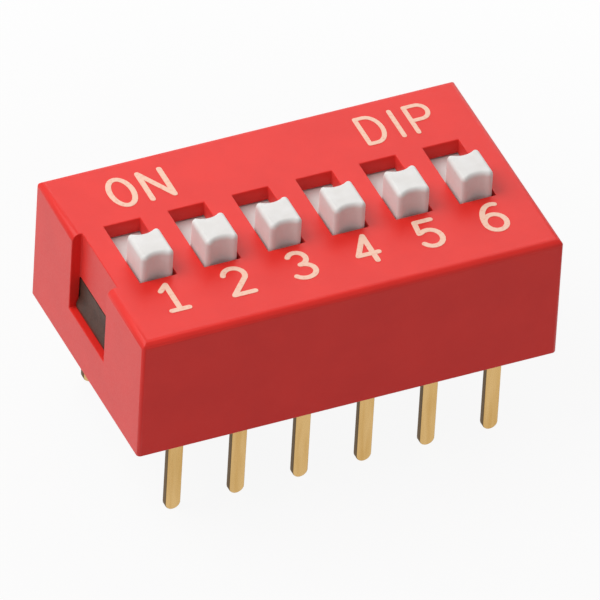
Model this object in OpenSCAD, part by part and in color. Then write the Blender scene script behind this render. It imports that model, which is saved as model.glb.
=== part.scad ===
// Slide DIP switch for a circuit board: a red cover over a dark base, white sliders
// with leaf contacts, and two rows of gold terminals.
// The origin is the middle of the seating plane, with the terminals below it.
// Position 1 is at -X, and the sliders move towards +Y to switch on.

/* [Layout] */
// Number of switches side by side
positions = 6; // [2:1:12]
// Distance from one switch to the next
pitch = 2.54; // [2.5:0.01:3.2]
// Distance between the two rows of terminals
row_spacing = 7.62; // [6.4:0.02:9]

/* [Cover] */
// From the middle of the first or last switch to the end of the cover
end_margin = 2; // [1.85:0.05:2.6]
// From a row of terminals to the cover's front or rear face
row_margin = 1.14; // [0.95:0.01:1.6]
// Height of the cover from its rim to its top
cover_h = 5.35; // [4.5:0.05:6.5]
// Wall along the front and the rear
side_wall = 0.6; // [0.4:0.05:0.7]
// Thickness of the top
top_wall = 0.65; // [0.5:0.05:0.8]
// Rib between two switches
rib_t = 0.5; // [0.3:0.05:0.6]
// Rounding of the edges round the top
edge_r = 0.3; // [0.05:0.05:0.4]
// Rounding of the upright edges
corner_r = 0.16; // [0.02:0.02:0.3]
// How far the base stands below the cover's rim
rim_lift = 0.15; // [0:0.05:0.3]

/* [End snap] */
// Width of the window in each end of the cover, and of the groove above one of them
window_w = 3.2; // [2:0.1:5]
// Height of the window's sill above the rim
window_sill = 1.9; // [1.2:0.05:2.2]
// Height of the window's upper edge above the rim
window_top = 3.25; // [3.05:0.05:3.6]
// Depth of the groove, and of the wall outside the base's tongue
groove_d = 0.4; // [0.25:0.05:0.5]
// How much further the base's tongue reaches than the window on each side
tongue_lap = 0.2; // [0.1:0.05:0.5]
// How far the catch stays inside the cover's end face
catch_inset = 0.26; // [0.1:0.02:0.3]
// Height of the catch's upright nose
catch_land = 0.2; // [0.1:0.05:0.3]
// Height of the catch's lead-in slope
catch_ramp = 0.4; // [0.2:0.05:0.5]

/* [Base] */
// Gap between pieces that are pressed or moulded together
fit_gap = 0.02; // [0.01:0.01:0.05]

/* [Sliders] */
// Gap all round a sliding piece
slide_gap = 0.05; // [0.02:0.01:0.1]
// Gap between a knob and the edges of its slot
slot_gap = 0.08; // [0.05:0.01:0.15]
// Travel of a slider from off to on
travel = 1.7; // [1.2:0.05:2.1]
// Width of a knob
knob_w = 1.28; // [1.1:0.02:1.5]
// Length of a knob along its travel
knob_l = 1.5; // [1:0.05:1.8]
// Height of a knob above the cover
knob_rise = 1.05; // [0.4:0.05:1.5]
// Rounding of a knob's upper edges
knob_edge_r = 0.2; // [0.05:0.01:0.25]
// Rounding of a knob's upright edges
knob_corner_r = 0.16; // [0.05:0.01:0.16]
// Depth of the finger scoop in a knob's front and back
scoop_d = 0.14; // [0.1:0.02:0.3]
// Thickness of the plate under a knob
plate_t = 1.55; // [1:0.05:2]
// Height of the plate above the base's floor
plate_lift = 0.55; // [0.45:0.05:0.7]
// How far the plate reaches past its slot at either end of the travel
plate_lap = 0.2; // [0.05:0.05:0.3]
// Depth of the channel for the leaf contact in the plate's underside
channel_d = 0.2; // [0.1:0.05:0.4]

/* [Leaf contacts] */
// Thickness of the leaf
leaf_t = 0.12; // [0.08:0.01:0.15]
// Width of the leaf
leaf_w = 0.9; // [0.6:0.05:1.1]
// Length of the leaf's flat middle
flat_l = 0.7; // [0.5:0.05:1]
// Slope of the leaf's arms
arm_angle = 60; // [55:1:65]
// How far each foot curls up again
curl_angle = 45; // [20:5:60]
// Gap between a foot and the pad below it
foot_gap = 0.02; // [0.01:0.01:0.05]
// Radius of the stud that holds the leaf
stud_r = 0.16; // [0.1:0.01:0.2]
// How far the stud stands out below the leaf
stud_proud = 0.08; // [0:0.02:0.15]

/* [Terminals] */
// Thickness of the terminal strip
strip_t = 0.3; // [0.2:0.05:0.4]
// Width of a pin
pin_w = 0.6; // [0.4:0.05:0.7]
// Length of a pin below the seating plane
pin_l = 3.75; // [2.5:0.05:5]
// Width of a contact pad
pad_w = 1.2; // [0.8:0.05:1.4]
// Bare stretch of base between a front and a rear pad
pad_gap = 0.7; // [0.4:0.05:0.9]
// Height of the shoulder that stops a terminal in the base
shoulder_z = 1; // [0.5:0.1:1.5]

/* [Hidden] */
$fn = 48;

red = [0.85, 0.17, 0.15];
white = [0.91, 0.90, 0.88];
dark = [0.20, 0.17, 0.15];
gold = [0.83, 0.67, 0.34];

// A cut runs this far past the face it opens
past = 0.5;

row_y = row_spacing / 2;
cell_w = pitch - rib_t;
cover_l = (positions - 1) * pitch + 2 * end_margin;
cover_w = row_spacing + 2 * row_margin;
inner_l = (positions - 1) * pitch + cell_w;
inner_w = cover_w - 2 * side_wall;
slot_w = knob_w + 2 * slot_gap;
slot_l = knob_l + travel + 2 * slot_gap;

top_z = rim_lift + cover_h;
ceiling_z = top_z - top_wall;
sill_z = rim_lift + window_sill;
window_z = rim_lift + window_top;

// The base's floor fills the height that the sliders leave
plate_top = ceiling_z - slide_gap;
plate_z = plate_top - plate_t;
floor_t = plate_z - plate_lift;
rib_z = floor_t + slide_gap;

tongue_x = cover_l / 2 - groove_d - fit_gap;
tongue_w = window_w + 2 * tongue_lap;
tongue_h = window_z - slide_gap;
root_l = tongue_x - inner_l / 2;
catch_w = window_w - 2 * slide_gap;
catch_x = cover_l / 2 - catch_inset;
catch_z = sill_z + fit_gap;

off_y = -travel / 2;
plate_w = cell_w - 2 * slide_gap;
plate_l = slot_l + travel + 2 * plate_lap;

// The scoop's arc runs smoothly into the round upright edges beside it
knob_corner_x = knob_w / 2 - knob_corner_r;
knob_corner_y = knob_l / 2 - knob_corner_r;
scoop_r = (pow(knob_corner_x, 2) + pow(scoop_d, 2)) / (2 * scoop_d) - knob_corner_r;
scoop_y = knob_l / 2 - scoop_d + scoop_r;

leaf_z = plate_z + channel_d;
knob_h = top_z + knob_rise - leaf_z;
arm_drop = leaf_z - leaf_t - foot_gap - floor_t;
arm_r = arm_drop / (1 - cos(arm_angle)) / 2;
arm_steps = 8;
foot_y = flat_l / 2 + 2 * arm_r * sin(arm_angle);

// The rear foot stands in the middle of the bare stretch when the switch is off
split_y = off_y + foot_y;
front_reach = row_y + split_y - pad_gap / 2;
rear_reach = row_y - split_y - pad_gap / 2;

// X of one switch's middle, counted from 1
function switch_x(i) = (i - (positions + 1) / 2) * pitch;

// Rectangle with four round corners, about its middle
module round_rect(l, w, r) {
    square([l - 2 * r, w], center = true);
    square([l, w - 2 * r], center = true);
    for (x = [-1, 1], y = [-1, 1])
        translate([x * (l / 2 - r), y * (w / 2 - r)])
            circle(r);
}

// Upright outline of width w and height h with round upper corners
module round_top(w, h, r) {
    translate([-w / 2, 0])
        square([w, h - r]);
    translate([-w / 2 + r, 0])
        square([w - 2 * r, h]);
    for (x = [-1, 1])
        translate([x * (w / 2 - r), h - r])
            circle(r);
}

// Block whose upper edges are round, standing on z = 0
module round_top_block(l, w, h, r) {
    intersection() {
        rotate([90, 0, 0])
            linear_extrude(w, center = true)
                round_top(l, h, r);
        rotate([90, 0, 90])
            linear_extrude(l, center = true)
                round_top(w, h, r);
    }
}

// Box of the given size about the Z axis, standing on z = 0
module post(l, w, h) {
    translate([-l / 2, -w / 2, 0])
        cube([l, w, h]);
}

module cover_block() {
    intersection() {
        round_top_block(cover_l, cover_w, cover_h, edge_r);
        linear_extrude(cover_h)
            round_rect(cover_l, cover_w, corner_r);
    }
}

// Window through the cover's end for the catch, and room inside for the tongue from the rim up
module end_window() {
    start_x = inner_l / 2 - past;
    room_w = tongue_w + 2 * fit_gap;
    translate([start_x, -window_w / 2, sill_z])
        cube([cover_l / 2 + past - start_x, window_w, window_z - sill_z]);
    translate([start_x, -room_w / 2, rim_lift - past])
        cube([tongue_x + fit_gap - start_x, room_w, window_top + fit_gap + past]);
}

// Groove in the cover's end, from the window's sill up through the top
module end_groove() {
    translate([cover_l / 2 - groove_d, -window_w / 2, sill_z])
        cube([groove_d + past, window_w, top_z - sill_z + past]);
}

module cover() {
    color(red) {
        difference() {
            translate([0, 0, rim_lift])
                cover_block();
            translate([0, 0, rim_lift - past])
                post(inner_l, inner_w, ceiling_z - rim_lift + past);
            for (i = [1 : positions])
                translate([switch_x(i), 0, ceiling_z - past])
                    post(slot_w, slot_l, top_wall + 2 * past);
            for (turn = [0, 180])
                rotate(turn)
                    end_window();
            rotate(180)
                end_groove();
        }
        for (i = [1 : positions - 1])
            translate([switch_x(i) + pitch / 2, 0, rib_z])
                post(rib_t, inner_w + side_wall, ceiling_z + top_wall / 2 - rib_z);
    }
}

// Tongue with a catch that snaps over the window's sill
module end_tongue() {
    translate([inner_l / 2 - root_l, -tongue_w / 2, 0])
        cube([2 * root_l, tongue_w, min(floor_t, tongue_h)]);
    translate([inner_l / 2, -tongue_w / 2, 0])
        cube([root_l, tongue_w, tongue_h]);
    translate([0, catch_w / 2, catch_z])
        rotate([90, 0, 0])
            linear_extrude(catch_w)
                polygon([
                    [tongue_x - root_l / 2, 0],
                    [catch_x, 0],
                    [catch_x, catch_land],
                    [tongue_x, catch_land + catch_ramp],
                    [tongue_x - root_l / 2, catch_land + catch_ramp]
                ]);
}

// Room in the base for one terminal about its own pin, whose pad reaches towards +Y
module terminal_room(reach) {
    outer = strip_t / 2 + fit_gap;
    leg = strip_t + 2 * fit_gap;
    translate([-pad_w / 2 - fit_gap, -outer, floor_t - strip_t])
        cube([pad_w + 2 * fit_gap, reach + outer + fit_gap, strip_t + past]);
    translate([0, 0, shoulder_z])
        post(pad_w + 2 * fit_gap, leg, floor_t - shoulder_z);
    translate([0, 0, -past])
        post(pin_w + 2 * fit_gap, leg, floor_t);
}

module base() {
    color(dark)
        difference() {
            union() {
                post(inner_l - 2 * fit_gap, inner_w - 2 * fit_gap, floor_t);
                for (turn = [0, 180])
                    rotate(turn)
                        end_tongue();
            }
            for (i = [1 : positions]) {
                translate([switch_x(i), -row_y, 0])
                    terminal_room(front_reach);
                translate([switch_x(i), row_y, 0])
                    rotate(180)
                        terminal_room(rear_reach);
            }
        }
}

// Knob from above: straight sides, with a scoop between round corners in its front and its back
module knob_plan() {
    meet_x = knob_corner_x * scoop_r / (scoop_r + knob_corner_r);
    difference() {
        square([2 * meet_x, knob_l], center = true);
        for (side = [-1, 1])
            translate([0, side * scoop_y])
                circle(scoop_r);
    }
    square([knob_w, 2 * knob_corner_y], center = true);
    for (x = [-1, 1], y = [-1, 1])
        translate([x * knob_corner_x, y * knob_corner_y])
            circle(knob_corner_r);
}

// Cut that rounds a scoop's upper edge, about the scoop's axis with the knob's top at z = 0
module scoop_edge_cut() {
    rotate_extrude()
        difference() {
            translate([scoop_r / 2, -knob_edge_r])
                square([scoop_r / 2 + knob_edge_r, knob_edge_r + past]);
            translate([scoop_r + knob_edge_r, -knob_edge_r])
                circle(knob_edge_r);
        }
}

module knob() {
    difference() {
        intersection() {
            round_top_block(knob_w, knob_l, knob_h, knob_edge_r);
            linear_extrude(knob_h)
                knob_plan();
        }
        for (side = [-1, 1])
            translate([0, side * scoop_y, knob_h])
                scoop_edge_cut();
    }
}

module slider(i) {
    color(white)
        translate([switch_x(i), off_y, 0]) {
            difference() {
                translate([0, 0, plate_z])
                    post(plate_w, plate_l, plate_t);
                translate([0, 0, plate_z - past])
                    post(leaf_w + 2 * slide_gap, plate_l + 2 * past, channel_d + past);
            }
            translate([0, 0, leaf_z])
                knob();
            translate([0, 0, leaf_z - leaf_t - stud_proud])
                cylinder(h = leaf_t + stud_proud + channel_d, r = stud_r);
        }
}

// Points along an arc, from one angle to another, leaving out the first few steps if asked
function arc_points(centre, r, from, to, first = 0) = [
    for (k = [first : arm_steps])
        let (a = from + (to - from) * k / arm_steps)
        centre + r * [cos(a), sin(a)]
];

// Side view of the leaf: a flat middle, arms that bend down, and feet that curl up
module leaf_outline() {
    arm = [flat_l / 2, leaf_z - leaf_t / 2 - arm_r];
    foot = [foot_y, floor_t + foot_gap + leaf_t / 2 + arm_r];
    near_r = arm_r - leaf_t / 2;
    far_r = arm_r + leaf_t / 2;
    half = concat(
        arc_points(arm, far_r, 90, 90 - arm_angle),
        arc_points(foot, near_r, 270 - arm_angle, 270 + curl_angle, 1),
        arc_points(foot, far_r, 270 + curl_angle, 270 - arm_angle),
        arc_points(arm, near_r, 90 - arm_angle, 90, 1)
    );
    polygon(concat(half, [for (k = [len(half) - 1 : -1 : 0]) [-half[k].x, half[k].y]]));
}

module leaf_contact(i) {
    color(gold)
        translate([switch_x(i), off_y, 0])
            difference() {
                rotate([90, 0, 90])
                    linear_extrude(leaf_w, center = true)
                        leaf_outline();
                translate([0, 0, leaf_z - leaf_t - past])
                    cylinder(h = leaf_t + 2 * past, r = stud_r + fit_gap);
            }
}

// Side view of a terminal: a strip bent over at the top, with its pad running towards +Y
module terminal_side(reach) {
    difference() {
        union() {
            translate([-strip_t / 2, -pin_l])
                square([strip_t, pin_l + floor_t]);
            translate([-strip_t / 2, floor_t - strip_t])
                square([reach + strip_t / 2, strip_t]);
        }
        translate([strip_t / 2, floor_t - strip_t])
            difference() {
                translate([-strip_t - past, 0])
                    square(strip_t + past);
                circle(strip_t);
            }
    }
}

// Front view of a terminal: a wide shoulder above a narrow pin with a round tip
module terminal_front() {
    translate([-pad_w / 2, shoulder_z + fit_gap])
        square([pad_w, floor_t]);
    translate([-pin_w / 2, pin_w / 2 - pin_l])
        square([pin_w, pin_l + floor_t - pin_w / 2]);
    translate([0, pin_w / 2 - pin_l])
        circle(pin_w / 2);
}

// Terminal about its own pin
module terminal(reach) {
    intersection() {
        rotate([90, 0, 90])
            linear_extrude(pad_w, center = true)
                terminal_side(reach);
        rotate([90, 0, 0])
            linear_extrude(2 * row_spacing, center = true)
                terminal_front();
    }
}

module front_terminal(i) {
    color(gold)
        translate([switch_x(i), -row_y, 0])
            terminal(front_reach);
}

module rear_terminal(i) {
    color(gold)
        translate([switch_x(i), row_y, 0])
            rotate(180)
                terminal(rear_reach);
}

cover();
base();
for (i = [1 : positions]) {
    slider(i);
    leaf_contact(i);
    front_terminal(i);
    rear_terminal(i);
}
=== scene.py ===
"""Finishes, print and studio for a slide DIP switch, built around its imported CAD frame."""
import math

import bmesh
import bpy
from bpy.props import FloatProperty, FloatVectorProperty, PointerProperty
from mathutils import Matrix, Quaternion, Vector
from mathutils.geometry import delaunay_2d_cdt


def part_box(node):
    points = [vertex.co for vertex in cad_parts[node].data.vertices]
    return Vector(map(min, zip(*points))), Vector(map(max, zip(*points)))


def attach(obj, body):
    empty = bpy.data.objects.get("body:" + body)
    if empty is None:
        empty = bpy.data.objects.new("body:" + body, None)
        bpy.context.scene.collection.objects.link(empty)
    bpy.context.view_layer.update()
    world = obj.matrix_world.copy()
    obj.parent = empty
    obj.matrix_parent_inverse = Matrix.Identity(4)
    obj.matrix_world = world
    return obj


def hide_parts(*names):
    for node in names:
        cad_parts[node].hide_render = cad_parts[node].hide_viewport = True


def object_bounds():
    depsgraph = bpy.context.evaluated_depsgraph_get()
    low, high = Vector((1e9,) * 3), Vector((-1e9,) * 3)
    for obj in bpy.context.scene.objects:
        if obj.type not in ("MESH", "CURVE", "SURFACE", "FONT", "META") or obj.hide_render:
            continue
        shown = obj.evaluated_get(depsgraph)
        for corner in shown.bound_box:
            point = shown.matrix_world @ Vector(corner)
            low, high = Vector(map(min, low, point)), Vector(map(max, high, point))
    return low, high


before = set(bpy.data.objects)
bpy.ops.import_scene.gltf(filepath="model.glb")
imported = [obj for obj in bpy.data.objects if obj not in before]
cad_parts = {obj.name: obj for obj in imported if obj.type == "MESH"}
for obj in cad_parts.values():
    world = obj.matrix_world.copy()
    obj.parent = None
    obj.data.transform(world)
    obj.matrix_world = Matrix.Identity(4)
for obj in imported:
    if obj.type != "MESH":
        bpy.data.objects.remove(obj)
CAD_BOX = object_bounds()

bl_info = {
    "name": "DIP switch finishes",
    "version": (1, 0, 0),
    "blender": (4, 5, 0),
    "location": "3D View > Sidebar > DIP switch",
    "description": "Moulded plastic, gold plate, print and studio for a slide DIP switch",
    "category": "Material",
}

MM = 0.001
WHITE = (1, 1, 1, 1)
TOP_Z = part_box("cover")[1].z
FLOOR_Z = CAD_BOX[0].z
SLIDERS = [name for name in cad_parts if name.startswith("slider_")]


# Property helpers

def length_prop(name, description, millimetres):
    return FloatProperty(
        name=name, description=description, default=millimetres * MM, unit="LENGTH", precision=4)


def place_prop(name, description, millimetres):
    return FloatVectorProperty(
        name=name, description=description, default=[v * MM for v in millimetres],
        size=len(millimetres), subtype="TRANSLATION", unit="LENGTH", precision=4)


def colour_prop(name, description, linear_rgb):
    return FloatVectorProperty(
        name=name, description=description, default=linear_rgb, size=3, subtype="COLOR",
        min=0, max=1)


def share_prop(name, description, share):
    return FloatProperty(
        name=name, description=description, default=share, subtype="FACTOR", min=0, max=1)


def angle_prop(name, description, degrees):
    return FloatProperty(
        name=name, description=description, default=math.radians(degrees), subtype="ANGLE")


def level_prop(name, description, level):
    return FloatProperty(name=name, description=description, default=level, min=0)


# Properties that a user would change

class CoverLooks(bpy.types.PropertyGroup):
    """Finish of the red moulded cover"""
    colour: colour_prop("Colour", "Main colour of the plastic", (0.76, 0.020, 0.013))
    shade: colour_prop("Shade", "Colour of the plastic's faint clouds", (0.72, 0.017, 0.011))
    roughness: share_prop("Roughness", "Mean roughness of the moulded skin", 0.40)
    gloss: share_prop("Gloss", "Specular level of the plastic", 0.3)
    cloud_size: length_prop("Cloud size", "Size of the clouds in the colour", 1.6)
    grain_size: length_prop("Grain size", "Size of the skin's grain", 0.07)
    grain_depth: length_prop("Grain depth", "Depth of the skin's grain", 0.003)
    bloom: share_prop("Bloom", "Pale bloom on the skin where it is seen at a slant", 0.12)
    edge: length_prop("Edge", "Softened width of the sharp edges", 0.04)


class SliderLooks(bpy.types.PropertyGroup):
    """Form of the knobs and finish of the white moulded sliders"""
    knob_size: place_prop("Knob size", "Width and length of a knob", (1.28, 1.5))
    corner: length_prop("Corner", "Rounding of a knob's upright edges", 0.16)
    crown: place_prop(
        "Crown", "Width and height of the rounding round a knob's top", (0.15, 0.2))
    scoop: length_prop("Scoop", "Depth of the scoop in a knob's front and back", 0.14)
    colour: colour_prop("Colour", "Main colour of the plastic", (0.74, 0.725, 0.71))
    shade: colour_prop("Shade", "Colour of the plastic's faint clouds", (0.70, 0.68, 0.66))
    roughness: share_prop("Roughness", "Mean roughness of the moulded skin", 0.45)
    gloss: share_prop("Gloss", "Specular level of the plastic", 0.4)
    cloud_size: length_prop("Cloud size", "Size of the clouds in the colour", 0.5)
    grain_size: length_prop("Grain size", "Size of the skin's grain", 0.06)
    grain_depth: length_prop("Grain depth", "Depth of the skin's grain", 0.002)
    bloom: share_prop("Bloom", "Pale bloom on the skin where it is seen at a slant", 0.05)
    edge: length_prop("Edge", "Softened width of the sharp edges", 0.01)


class BaseLooks(bpy.types.PropertyGroup):
    """Finish of the dark moulded base, with a painted red reflection of the cover in its colours
    """
    # Dark plastic whose red share is raised: a painted reflection of the red cover's walls
    colour: colour_prop("Colour", "Main colour of the plastic", (0.075, 0.035, 0.023))
    shade: colour_prop("Shade", "Colour of the plastic's faint clouds", (0.050, 0.024, 0.016))
    roughness: share_prop("Roughness", "Mean roughness of the moulded skin", 0.5)
    gloss: share_prop("Gloss", "Specular level of the plastic", 0.3)
    cloud_size: length_prop("Cloud size", "Size of the clouds in the colour", 0.4)
    grain_size: length_prop("Grain size", "Size of the skin's grain", 0.08)
    grain_depth: length_prop("Grain depth", "Depth of the skin's grain", 0.004)
    bloom: share_prop("Bloom", "Pale bloom on the skin where it is seen at a slant", 0)
    edge: length_prop("Edge", "Softened width of the sharp edges", 0.03)


class MetalLooks(bpy.types.PropertyGroup):
    """Finish of the gold-plated terminals and leaf contacts"""
    colour: colour_prop("Plate", "Colour of the gold plate", (0.70, 0.46, 0.19))
    thin_plate: colour_prop("Thin plate", "Colour of the bands of thin plate", (0.62, 0.38, 0.13))
    # Bare bronze of the sheared edges, made darker than bronze as painted shade on the narrow
    # side faces
    cut: colour_prop(
        "Cut edge", "Colour of the bare bronze on the sheared edges", (0.16, 0.10, 0.045))
    roughness: share_prop("Roughness", "Mean roughness of the plate", 0.28)
    cut_roughness: share_prop("Cut roughness", "Roughness of the sheared edges", 0.55)
    streak_size: length_prop("Streak size", "Width of the rolled strip's fine lines", 0.03)
    streak_depth: length_prop("Streak depth", "Depth of the rolled strip's fine lines", 0.0006)
    band_size: length_prop("Band size", "Width of the bands of thin plate", 0.25)
    edge: length_prop("Edge", "Softened width of the stamped edges", 0.04)


class PrintLooks(bpy.types.PropertyGroup):
    """Printed numbers and words on top of the cover"""
    ink: colour_prop("Ink", "Colour of the ink", (0.86, 0.56, 0.43))
    thin_ink: colour_prop("Thin ink", "Colour where the ink lies thin", (0.82, 0.40, 0.29))
    patch_size: length_prop("Patch size", "Size of the patches of thin ink", 0.12)
    roughness: share_prop("Roughness", "Roughness of the ink", 0.55)
    gloss: share_prop("Gloss", "Specular level of the ink", 0.3)
    thickness: length_prop("Thickness", "Height of the ink above the cover", 0.015)
    stroke: length_prop("Stroke", "Width of a stroke of the numbers and ON", 0.21)
    dip_stroke: length_prop("DIP stroke", "Width of a stroke of the word DIP", 0.18)
    digit_size: place_prop("Digit size", "Width and height of a number", (1.02, 1.64))
    digit_y: length_prop("Digit line", "Y of the line that the numbers stand on", -3.65)
    shift: length_prop("Shift", "How far the numbers sit to the right of the slots", 0.08)
    on_start: place_prop("ON start", "X and Y where the word ON begins", (-6.245, 2.37))
    on_size: place_prop("ON letter", "Width and height of the letters of ON", (1.08, 1.70))
    on_gap: length_prop("ON gap", "Clear gap between the letters of ON", 0.28)
    dip_start: place_prop("DIP start", "X and Y where the word DIP begins", (3.83, 2.465))
    dip_size: place_prop("DIP letter", "Width and height of the letters of DIP", (0.97, 1.64))
    dip_gap: length_prop("DIP gap", "Clear gap between the letters of DIP", 0.40)


class StageLooks(bpy.types.PropertyGroup):
    """Camera, light and floor"""
    azimuth: angle_prop("Azimuth", "Camera's turn about the upright axis", -25.90)
    elevation: angle_prop("Elevation", "Camera's height above the horizon", 40.395)
    roll: angle_prop("Roll", "Camera's turn about its own line of sight", 3.494)
    aim: place_prop("Aim", "Point at the middle of the picture", (0.045, -0.338, 1.473))
    distance: length_prop("Distance", "From the camera to the aim", 621.6)
    lens: FloatProperty(
        name="Lens", description="Focal length in millimetres", default=1020, unit="CAMERA")
    floor: colour_prop("Floor", "Colour of the floor", (0.60, 0.60, 0.60))
    shadow: share_prop("Shadow", "How much of the floor's own shading shows", 0.08)
    shadow_reach: length_prop("Shadow reach", "Where the floor's shading has faded out", 32)
    ambient: level_prop("Ambient", "Light from all round", 0.43)
    key_azimuth: angle_prop("Key azimuth", "Direction of the main lamp", -110)
    key_elevation: angle_prop("Key elevation", "Height of the main lamp", 55)
    key_level: level_prop("Key level", "Brightness of the main lamp on a facing white", 0.715)
    fill_azimuth: angle_prop("Fill azimuth", "Direction of the second lamp", 155)
    fill_elevation: angle_prop("Fill elevation", "Height of the second lamp", 40)
    fill_level: level_prop(
        "Fill level", "Brightness of the second lamp on a facing white", 0.215)
    lamp_distance: length_prop("Lamp distance", "From a lamp to the aim", 160)
    lamp_size: length_prop("Lamp size", "Side of a lamp's soft panel", 110)


# Shader expressions

# The Mix node's sockets for colours share their names with its others, so they go by number
MIX_FACTOR, MIX_FIRST, MIX_SECOND, MIX_RESULT = 0, 6, 7, 2


class Wire:
    """A shader socket: arithmetic on it adds Math nodes to its tree."""

    def __init__(self, tree, socket):
        self.tree = tree
        self.socket = socket

    def math(self, operation, first, second):
        return self.tree.node("ShaderNodeMath", {"operation": operation}, {0: first, 1: second})

    def __add__(self, other):
        return self.math("ADD", self, other)

    def __sub__(self, other):
        return self.math("SUBTRACT", self, other)

    def __rsub__(self, other):
        return self.math("SUBTRACT", other, self)

    def __mul__(self, other):
        return self.math("MULTIPLY", self, other)

    __radd__ = __add__
    __rmul__ = __mul__


class Tree:
    """The node tree of a material or a world."""

    def __init__(self, owner):
        owner.use_nodes = True
        self.nodes = owner.node_tree.nodes
        self.links = owner.node_tree.links
        self.nodes.clear()

    def node(self, kind, settings=None, sockets=None, output=0):
        """Adds a node: its settings first, then a value or a wire for each named socket."""
        made = self.nodes.new(kind)
        for name, value in (settings or {}).items():
            setattr(made, name, value)
        for key, value in (sockets or {}).items():
            if isinstance(value, Wire):
                self.links.new(value.socket, made.inputs[key])
            else:
                made.inputs[key].default_value = value
        return Wire(self, made.outputs[output]) if made.outputs else None

    def mix_colour(self, factor, first, second):
        """From the first colour to the second as the factor goes from 0 to 1."""
        sockets = {MIX_FACTOR: factor}
        for key, colour in ((MIX_FIRST, first), (MIX_SECOND, second)):
            sockets[key] = colour if isinstance(colour, Wire) else (*colour, 1)
        return self.node("ShaderNodeMix", {"data_type": "RGBA"}, sockets, MIX_RESULT)

    def facing(self, axis):
        """How squarely a face looks along one of the object's axes, from 0 to 1."""
        normal = self.node("ShaderNodeTexCoord", output="Normal")
        part = self.node("ShaderNodeSeparateXYZ", None, {0: normal}, axis)
        return self.node("ShaderNodeMath", {"operation": "ABSOLUTE"}, {0: part})

    def noise(self, size, detail, stretch=(1, 1, 1)):
        """Noise from 0 to 1 in the object's own space, with blotches of the given size."""
        place = self.node("ShaderNodeTexCoord", output="Object")
        scale = [k / size for k in stretch]
        place = self.node("ShaderNodeVectorMath", {"operation": "MULTIPLY"}, {0: place, 1: scale})
        sockets = {"Vector": place, "Scale": 1, "Detail": detail}
        return self.node("ShaderNodeTexNoise", None, sockets)

    def spread(self, value, low, high):
        """A value spread so that low becomes 0 and high becomes 1."""
        sockets = {"Value": value, "From Min": low, "From Max": high}
        return self.node("ShaderNodeMapRange", {"clamp": True}, sockets)

    def bump(self, height, depth):
        """A normal that follows a height from 0 to 1, with its depth in metres."""
        return self.node("ShaderNodeBump", None, {"Height": height, "Distance": depth})

    def in_plain_view(self):
        """1 for camera, glossy and transmission rays, and 0 for light that bounces."""
        hidden = 1
        for ray in ("Is Camera Ray", "Is Glossy Ray", "Is Transmission Ray"):
            hidden = (1 - self.node("ShaderNodeLightPath", output=ray)) * hidden
        return 1 - hidden

    def close(self, kind, shader):
        """Ends the tree in an output node."""
        self.node(kind, None, {"Surface": shader})

    def principled(self, sockets):
        """Ends a material's tree in a Principled shader."""
        shader = self.node("ShaderNodeBsdfPrincipled", None, sockets)
        self.close("ShaderNodeOutputMaterial", shader)


# Finishes

# Part of a noise's 0 to 1 over which one colour turns into the other
CLOUD_SPAN = (0.35, 0.65)
BAND_SPAN = (0.4, 0.7)
THIN_INK_SPAN = (0.52, 0.74)
# How squarely a face looks along X where a sheared edge with its painted shade begins and where
# it is complete
CUT_AND_SHADE_SPAN = (0.5, 0.8)
# By how much a fine noise changes the roughness from its 0 to its 1
GRAIN_ROUGHENS = 0.25
STREAKS_ROUGHEN = 0.15
THIN_INK_ROUGHENS = 0.1
BLOOM_ROUGHNESS = 0.4
# The rolled strip's lines and bands run along Z
STREAK_STRETCH = (1, 1, 0.04)
BAND_STRETCH = (1, 1, 0.1)


def moulded_plastic(name, looks):
    """Satin plastic with faint clouds in its colour and a fine moulded grain."""
    material = bpy.data.materials.new(name)
    tree = Tree(material)
    clouds = tree.spread(tree.noise(looks.cloud_size, detail=4), *CLOUD_SPAN)
    grain = tree.noise(looks.grain_size, detail=3)
    tree.principled({
        "Base Color": tree.mix_colour(clouds, looks.colour, looks.shade),
        "Roughness": looks.roughness + (grain - 0.5) * GRAIN_ROUGHENS,
        "Specular IOR Level": looks.gloss,
        "Normal": tree.bump(grain, looks.grain_depth),
        "Sheen Weight": looks.bloom,
        "Sheen Roughness": BLOOM_ROUGHNESS,
    })
    return material


def gold_plate(name, looks):
    """Strip plated on its two broad faces, with lines along its length and bare sheared edges
    darkened with painted shade.
    """
    material = bpy.data.materials.new(name)
    tree = Tree(material)
    streaks = tree.noise(looks.streak_size, detail=2, stretch=STREAK_STRETCH)
    bands = tree.spread(tree.noise(looks.band_size, detail=2, stretch=BAND_STRETCH), *BAND_SPAN)
    # Side faces along X: the sheared edges in bare bronze, with painted shade in their darkness
    cut = tree.spread(tree.facing("X"), *CUT_AND_SHADE_SPAN)
    plate = tree.mix_colour(bands, looks.colour, looks.thin_plate)
    rougher = cut * (looks.cut_roughness - looks.roughness)
    tree.principled({
        "Base Color": tree.mix_colour(cut, plate, looks.cut),
        "Metallic": 1,
        "Roughness": looks.roughness + (streaks - 0.5) * STREAKS_ROUGHEN + rougher,
        "Normal": tree.bump(streaks, looks.streak_depth),
    })
    return material


def printing_ink(name, looks):
    """Matt ink that lies thinner in small patches."""
    material = bpy.data.materials.new(name)
    tree = Tree(material)
    thin = tree.spread(tree.noise(looks.patch_size, detail=3), *THIN_INK_SPAN)
    tree.principled({
        "Base Color": tree.mix_colour(thin, looks.ink, looks.thin_ink),
        "Roughness": looks.roughness + thin * THIN_INK_ROUGHENS,
        "Specular IOR Level": looks.gloss,
    })
    return material


# Meshes

# Points closer than this are one point
WELD = 0.0005 * MM
# Faces that meet at less than the first angle are one, and at more than the second have an edge
FLAT_ANGLE = math.radians(0.5)
SHARP_ANGLE = math.radians(35)
# Flat outlines are split in millimetres, over their whole hull, with points this near made one
SPLIT_KIND = 0
SPLIT_NEAR = 1e-5


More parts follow.
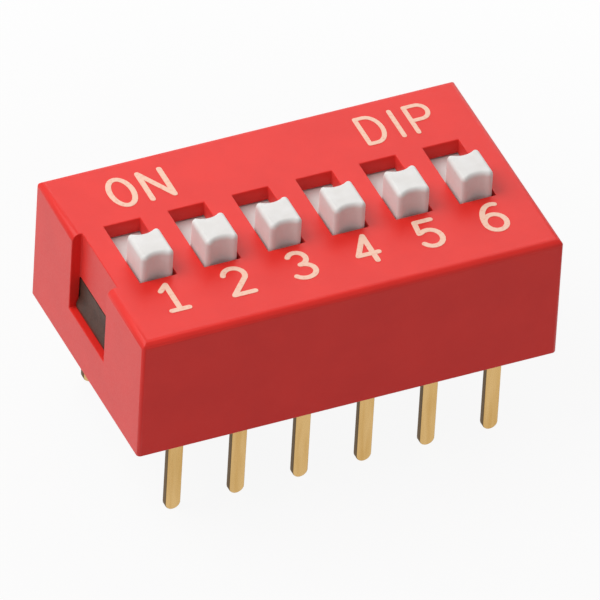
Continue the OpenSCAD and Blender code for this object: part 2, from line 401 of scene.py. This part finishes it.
def smooth_shading_group():
    """Geometry nodes that shade a mesh smooth."""
    group = bpy.data.node_groups.new("smooth_shading", "GeometryNodeTree")
    group.interface.new_socket("Geometry", in_out="INPUT", socket_type="NodeSocketGeometry")
    group.interface.new_socket("Geometry", in_out="OUTPUT", socket_type="NodeSocketGeometry")
    start = group.nodes.new("NodeGroupInput")
    smooth = group.nodes.new("GeometryNodeSetShadeSmooth")
    end = group.nodes.new("NodeGroupOutput")
    group.links.new(start.outputs[0], smooth.inputs[0])
    group.links.new(smooth.outputs[0], end.inputs[0])
    return group


def add_modifier(piece, kind, **settings):
    modifier = piece.modifiers.new(kind.lower(), kind)
    for name, value in settings.items():
        setattr(modifier, name, value)


def soften_edges(piece, width):
    """Joins a mesh's facets up, rounds its sharp edges by a hair and shades it smooth."""
    add_modifier(piece, "WELD", merge_threshold=WELD)
    add_modifier(piece, "DECIMATE", decimate_type="DISSOLVE", angle_limit=FLAT_ANGLE)
    add_modifier(
        piece, "BEVEL", width=width, segments=2, limit_method="ANGLE",
        angle_limit=SHARP_ANGLE, use_clamp_overlap=False)
    group = bpy.data.node_groups.get("smooth_shading") or smooth_shading_group()
    add_modifier(piece, "NODES", node_group=group)
    add_modifier(piece, "WEIGHTED_NORMAL")


def arc(x, y, rx, ry, start, end, steps=14):
    """Points along part of an ellipse, from one angle to another in degrees."""
    angles = [math.radians(start + (end - start) * k / steps) for k in range(steps + 1)]
    return [(x + rx * math.cos(a), y + ry * math.sin(a)) for a in angles]


def split_outlines(outlines):
    """Splits overlapping flat outlines into faces, and lists the outlines that hold each face."""
    points, loops = [], []
    for outline in outlines:
        loops.append(list(range(len(points), len(points) + len(outline))))
        points += [Vector(point) / MM for point in outline]
    points, _, faces, _, _, holders = delaunay_2d_cdt(points, [], loops, SPLIT_KIND, SPLIT_NEAR)
    return [point * MM for point in points], list(zip(faces, holders))


def add_piece(name, shape, material):
    """Puts a finished bmesh into the scene as an object with one material."""
    mesh = bpy.data.meshes.new(name)
    shape.to_mesh(mesh)
    shape.free()
    mesh.materials.append(material)
    piece = bpy.data.objects.new(name, mesh)
    bpy.context.scene.collection.objects.link(piece)
    return piece


def dress(start, material, edge):
    """Gives every CAD node whose name begins with a word its finish and soft edges."""
    pieces = [piece for name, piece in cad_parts.items() if name.startswith(start)]
    if not pieces:
        raise RuntimeError(f"the frame has no node named {start}")
    for piece in pieces:
        piece.data.materials.clear()
        piece.data.materials.append(material)
        soften_edges(piece, edge)


# Sliders

CORNER_STEPS = 12
SCOOP_STEPS = 18
CROWN_STEPS = 7


def knob_outline(looks, inset):
    """Knob seen from above, drawn in by an inset: round corners with a scoop between them."""
    corner_x, corner_y = (side / 2 - looks.corner for side in looks.knob_size)
    reach = (corner_x ** 2 + looks.scoop ** 2) / (2 * looks.scoop)
    scoop_y = corner_y + reach - looks.scoop
    tilt = math.degrees(math.asin(corner_x / reach))
    corner_r = looks.corner - inset
    scoop_r = reach - corner_r
    half = [
        *arc(corner_x, corner_y, corner_r, corner_r, 0, 90 + tilt, CORNER_STEPS),
        *arc(0, scoop_y, scoop_r, scoop_r, 270 + tilt, 270 - tilt, SCOOP_STEPS)[1:-1],
        *arc(-corner_x, corner_y, corner_r, corner_r, 90 - tilt, 180, CORNER_STEPS),
    ]
    return half + [(-x, -y) for x, y in half]


def knob_rings(looks, foot_z, top_z):
    """Outlines of a knob from its foot to its rounded top, each with its height."""
    width, height = looks.crown
    rings = [(knob_outline(looks, 0), foot_z)]
    for k in range(CROWN_STEPS + 1):
        turn = math.pi / 2 * k / CROWN_STEPS
        inset = width * (1 - math.cos(turn))
        rings.append((knob_outline(looks, inset), top_z - height * (1 - math.sin(turn))))
    return rings


def open_plate(node, low):
    """A CAD slider without its knob and its plate's top, and the height of that top."""
    shape = bmesh.new()
    shape.from_mesh(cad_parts[node].data)
    bmesh.ops.remove_doubles(shape, verts=shape.verts[:], dist=WELD)
    plate_z = max(corner.co.z for corner in shape.verts if corner.co.x < low.x + WELD)
    above = [face for face in shape.faces if face.calc_center_median().z > plate_z - WELD]
    bmesh.ops.delete(shape, geom=above, context="FACES")
    return shape, plate_z


def add_knob(shape, looks, middle, foot_z, top_z):
    """Adds a knob's wall and top, and gives the outline of its foot."""
    rings = []
    for outline, z in knob_rings(looks, foot_z, top_z):
        rings.append([shape.verts.new((middle.x + x, middle.y + y, z)) for x, y in outline])
    for lower, upper in zip(rings, rings[1:]):
        for k in range(len(lower)):
            shape.faces.new((lower[k - 1], lower[k], upper[k], upper[k - 1]))
    shape.faces.new(rings[-1])
    return [corner.co.xy for corner in rings[0]]


def add_plate_top(shape, low, high, foot, z):
    """Closes a plate's top round the foot of its knob."""
    plate = [(low.x, low.y), (high.x, low.y), (high.x, high.y), (low.x, high.y)]
    points, faces = split_outlines([plate, foot])
    corners = [shape.verts.new((*point, z)) for point in points]
    for face, holders in faces:
        # Held by the first outline alone: on the plate and clear of the foot
        if holders == [0]:
            shape.faces.new([corners[k] for k in face])


def mould_slider(node, looks, material):
    """A slider on the plate of its CAD node, with its knob's curves drawn finely."""
    low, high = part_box(node)
    shape, plate_z = open_plate(node, low)
    foot = add_knob(shape, looks, (low + high) / 2, plate_z, high.z)
    add_plate_top(shape, low, high, foot, plate_z)
    bmesh.ops.remove_doubles(shape, verts=shape.verts[:], dist=WELD)
    bmesh.ops.recalc_face_normals(shape, faces=shape.faces[:])

    number = node.removeprefix("slider_")
    piece = add_piece(f"moulded_slider_{number}", shape, material)
    soften_edges(piece, looks.edge)
    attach(piece, f"actuator_{number}")
    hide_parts(node)


# Print

# Middle lines of the strokes of each character, in a box from 0 to 1
STROKES = {
    "O": [arc(0.5, 0.5, 0.5, 0.5, 0, 360, 28)],
    "N": [[(0, 0), (0, 1), (1, 0), (1, 1)]],
    "D": [[(0.4, 0), (0, 0), (0, 1), *arc(0.4, 0.5, 0.6, 0.5, 90, -90)]],
    "I": [[(0, 0), (0, 1)]],
    "P": [[(0, 0), (0, 1), *arc(0.55, 0.73, 0.45, 0.27, 90, -90), (0, 0.46)]],
    "1": [[(0.12, 0.8), (0.5, 1), (0.5, 0)], [(0.08, 0), (0.92, 0)]],
    "2": [[*arc(0.5, 0.72, 0.5, 0.28, 165, -30), (0, 0), (1, 0)]],
    "3": [arc(0.46, 0.76, 0.42, 0.24, 150, -90), arc(0.46, 0.26, 0.54, 0.26, 90, -150)],
    "4": [[(0.72, 0), (0.72, 1), (0, 0.3), (1, 0.3)]],
    "5": [[(0.92, 1), (0.14, 1), (0.06, 0.56), *arc(0.46, 0.32, 0.52, 0.32, 125, -150)]],
    "6": [arc(0.5, 0.31, 0.5, 0.31, 0, 360, 24), arc(0.74, 0.31, 0.74, 0.69, 180, 75)],
}
# Characters that are one stroke wide
NARROW = "I"


def capsule(start, end, radius, steps=6):
    """Outline of a straight stroke with round ends."""
    along = math.atan2(end.y - start.y, end.x - start.x)
    outline = []
    for middle, first in ((end, along - math.pi / 2), (start, along + math.pi / 2)):
        for k in range(steps + 1):
            a = first + math.pi * k / steps
            outline.append(middle + radius * Vector((math.cos(a), math.sin(a))))
    return outline


def ink_outlines(character, corner, size, stroke):
    """Outlines of a character's straight bits, in a box with this lower left corner and size."""
    width = 0 if character in NARROW else size[0] - stroke
    height = size[1] - stroke
    origin = Vector(corner) + Vector((stroke / 2, stroke / 2))
    outlines = []
    for line in STROKES[character]:
        points = [origin + Vector((x * width, y * height)) for x, y in line]
        outlines += [capsule(a, b, stroke / 2) for a, b in zip(points, points[1:])]
    return outlines


def word_outlines(word, start, size, stroke, gap):
    """Outlines of a word whose letters stand side by side."""
    x, y = start
    outlines = []
    for letter in word:
        outlines += ink_outlines(letter, (x, y), size, stroke)
        x += (stroke if letter in NARROW else size[0]) + gap
    return outlines


def lay_ink(name, outlines, thickness, material):
    """Merges overlapping outlines into one flat layer of ink on top of the cover."""
    points, faces = split_outlines(outlines)
    sheet = bmesh.new()
    corners = [sheet.verts.new((*point, TOP_Z + thickness)) for point in points]
    for face, holders in faces:
        if holders:
            sheet.faces.new([corners[k] for k in face])
    bmesh.ops.dissolve_limit(
        sheet, angle_limit=FLAT_ANGLE, verts=sheet.verts[:], edges=sheet.edges[:])
    rim = [edge.verts[:] for edge in sheet.edges if edge.is_boundary]
    under = {corner: sheet.verts.new((*corner.co.xy, TOP_Z)) for corner in sheet.verts[:]}
    for face in sheet.faces[:]:
        sheet.faces.new([under[corner] for corner in face.verts])
    for a, b in rim:
        sheet.faces.new((a, b, under[b], under[a]))
    bmesh.ops.recalc_face_normals(sheet, faces=sheet.faces[:])
    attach(add_piece(name, sheet, material), "housing")


# Studio

# Half the floor's side, in reaches of its shading
FLOOR_REACHES = 8


def direction(azimuth, elevation):
    """Unit vector from the aim towards a camera or a lamp, with azimuth 0 in front."""
    flat = math.cos(elevation)
    return Vector((math.sin(azimuth) * flat, -math.cos(azimuth) * flat, math.sin(elevation)))


def add_looking_at(name, data, aim, back, distance, roll=0):
    """Links a camera or a lamp that looks at the aim from a direction and a distance."""
    thing = bpy.data.objects.new(name, data)
    thing.location = Vector(aim) + back * distance
    thing.rotation_mode = "QUATERNION"
    turn = Quaternion((0, 0, 1), roll)
    thing.rotation_quaternion = (-back).to_track_quat("-Z", "Y") @ turn
    bpy.context.scene.collection.objects.link(thing)
    return thing


def add_camera(looks):
    """The photograph's view."""
    back = direction(looks.azimuth, looks.elevation)
    data = bpy.data.cameras.new("camera")
    data.lens = looks.lens
    camera = add_looking_at("camera", data, looks.aim, back, looks.distance, looks.roll)
    bpy.context.scene.camera = camera


def add_lamp(name, looks, azimuth, elevation, level):
    """A soft square panel whose level is what a white surface facing it reflects."""
    data = bpy.data.lights.new(name, "AREA")
    data.size = looks.lamp_size
    data.energy = level * (math.pi * looks.lamp_distance) ** 2
    add_looking_at(name, data, looks.aim, direction(azimuth, elevation), looks.lamp_distance)


def add_floor(looks):
    """White floor that keeps a soft shadow near the object and fades to plain white."""
    material = bpy.data.materials.new("floor")
    tree = Tree(material)
    place = tree.node("ShaderNodeTexCoord", output="Object")
    reach = tree.node("ShaderNodeVectorMath", {"operation": "LENGTH"}, {0: place}, "Value")
    faded = tree.spread(reach, looks.shadow_reach / 2, looks.shadow_reach)
    white = tree.in_plain_view() * (1 - (1 - faded) * looks.shadow)
    matt = tree.node("ShaderNodeBsdfDiffuse", None, {"Color": (*looks.floor, 1)})
    glow = tree.node("ShaderNodeEmission", None, {"Color": WHITE, "Strength": 1})
    mixed = tree.node("ShaderNodeMixShader", None, {0: white, 1: matt, 2: glow})
    tree.close("ShaderNodeOutputMaterial", mixed)
    plane = bmesh.new()
    half_side = FLOOR_REACHES * looks.shadow_reach
    bmesh.ops.create_grid(plane, x_segments=1, y_segments=1, size=half_side)
    floor = add_piece("floor", plane, material)
    floor.location.z = FLOOR_Z


def add_world(looks):
    """Even light all round, which shows as plain white."""
    world = bpy.data.worlds.new("studio")
    tree = Tree(world)
    dim, white = (
        tree.node("ShaderNodeBackground", None, {"Color": WHITE, "Strength": strength})
        for strength in (looks.ambient, 1))
    mixed = tree.node("ShaderNodeMixShader", None, {0: tree.in_plain_view(), 1: dim, 2: white})
    tree.close("ShaderNodeOutputWorld", mixed)
    bpy.context.scene.world = world


# Operators

class DIPSWITCH_OT_cover(bpy.types.Operator):
    """Give the cover its red moulded plastic"""
    bl_idname = "dip_switch.cover"
    bl_label = "Dress cover"

    def execute(self, context):
        looks = context.scene.dip_cover
        dress("cover", moulded_plastic("red_plastic", looks), looks.edge)
        return {"FINISHED"}


class DIPSWITCH_OT_base(bpy.types.Operator):
    """Give the base its dark moulded plastic"""
    bl_idname = "dip_switch.base"
    bl_label = "Dress base"

    def execute(self, context):
        looks = context.scene.dip_base
        dress("base", moulded_plastic("dark_plastic", looks), looks.edge)
        return {"FINISHED"}


class DIPSWITCH_OT_sliders(bpy.types.Operator):
    """Mould the sliders in white plastic"""
    bl_idname = "dip_switch.sliders"
    bl_label = "Mould sliders"

    def execute(self, context):
        if not SLIDERS:
            raise RuntimeError("the frame has no sliders")
        looks = context.scene.dip_slider
        white = moulded_plastic("white_plastic", looks)
        for node in SLIDERS:
            mould_slider(node, looks, white)
        return {"FINISHED"}


class DIPSWITCH_OT_metal(bpy.types.Operator):
    """Give the terminals and the leaf contacts their gold plate"""
    bl_idname = "dip_switch.metal"
    bl_label = "Dress terminals and contacts"

    def execute(self, context):
        looks = context.scene.dip_metal
        plate = gold_plate("gold_plate", looks)
        for start in ("front_terminal_", "rear_terminal_", "leaf_contact_"):
            dress(start, plate, looks.edge)
        return {"FINISHED"}


class DIPSWITCH_OT_print(bpy.types.Operator):
    """Print the numbers and the words on top of the cover"""
    bl_idname = "dip_switch.print"
    bl_label = "Print numbers and words"

    def execute(self, context):
        looks = context.scene.dip_print
        ink = printing_ink("ink", looks)
        for slider in SLIDERS:
            low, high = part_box(slider)
            number = slider.removeprefix("slider_")
            corner = ((low.x + high.x - looks.digit_size[0]) / 2 + looks.shift, looks.digit_y)
            outlines = ink_outlines(number, corner, looks.digit_size, looks.stroke)
            lay_ink(f"print_{number}", outlines, looks.thickness, ink)
        on_word = word_outlines(
            "ON", looks.on_start, looks.on_size, looks.stroke, looks.on_gap)
        lay_ink("print_on", on_word, looks.thickness, ink)
        dip_word = word_outlines(
            "DIP", looks.dip_start, looks.dip_size, looks.dip_stroke, looks.dip_gap)
        lay_ink("print_dip", dip_word, looks.thickness, ink)
        return {"FINISHED"}


class DIPSWITCH_OT_stage(bpy.types.Operator):
    """Set up the camera, the lamps, the floor and the world"""
    bl_idname = "dip_switch.stage"
    bl_label = "Set up studio"

    def execute(self, context):
        looks = context.scene.dip_stage
        add_camera(looks)
        add_lamp("key_lamp", looks, looks.key_azimuth, looks.key_elevation, looks.key_level)
        add_lamp("fill_lamp", looks, looks.fill_azimuth, looks.fill_elevation, looks.fill_level)
        add_floor(looks)
        add_world(looks)
        context.scene.view_settings.view_transform = "Standard"
        return {"FINISHED"}


# Sidebar panel and registration

# Each scene property with its settings and the operator that uses them
SECTIONS = {
    "dip_cover": (CoverLooks, DIPSWITCH_OT_cover),
    "dip_base": (BaseLooks, DIPSWITCH_OT_base),
    "dip_slider": (SliderLooks, DIPSWITCH_OT_sliders),
    "dip_metal": (MetalLooks, DIPSWITCH_OT_metal),
    "dip_print": (PrintLooks, DIPSWITCH_OT_print),
    "dip_stage": (StageLooks, DIPSWITCH_OT_stage),
}


class DIPSWITCH_PT_looks(bpy.types.Panel):
    """Lists the finishes of the DIP switch with their settings"""
    bl_idname = "DIPSWITCH_PT_looks"
    bl_label = "DIP switch"
    bl_space_type = "VIEW_3D"
    bl_region_type = "UI"
    bl_category = "DIP switch"

    def draw(self, context):
        for name, (group, operator) in SECTIONS.items():
            box = self.layout.box()
            box.operator(operator.bl_idname)
            looks = getattr(context.scene, name)
            for setting in group.__annotations__:
                box.prop(looks, setting)


CLASSES = [cls for section in SECTIONS.values() for cls in section] + [DIPSWITCH_PT_looks]


def register():
    for cls in CLASSES:
        bpy.utils.register_class(cls)
    for name, (group, _) in SECTIONS.items():
        setattr(bpy.types.Scene, name, PointerProperty(type=group))


def unregister():
    for name in SECTIONS:
        delattr(bpy.types.Scene, name)
    for cls in reversed(CLASSES):
        bpy.utils.unregister_class(cls)


def main():
    register()
    bpy.ops.dip_switch.cover()
    bpy.ops.dip_switch.base()
    bpy.ops.dip_switch.sliders()
    bpy.ops.dip_switch.metal()
    bpy.ops.dip_switch.print()
    bpy.ops.dip_switch.stage()


if __name__ == "__main__":
    main()
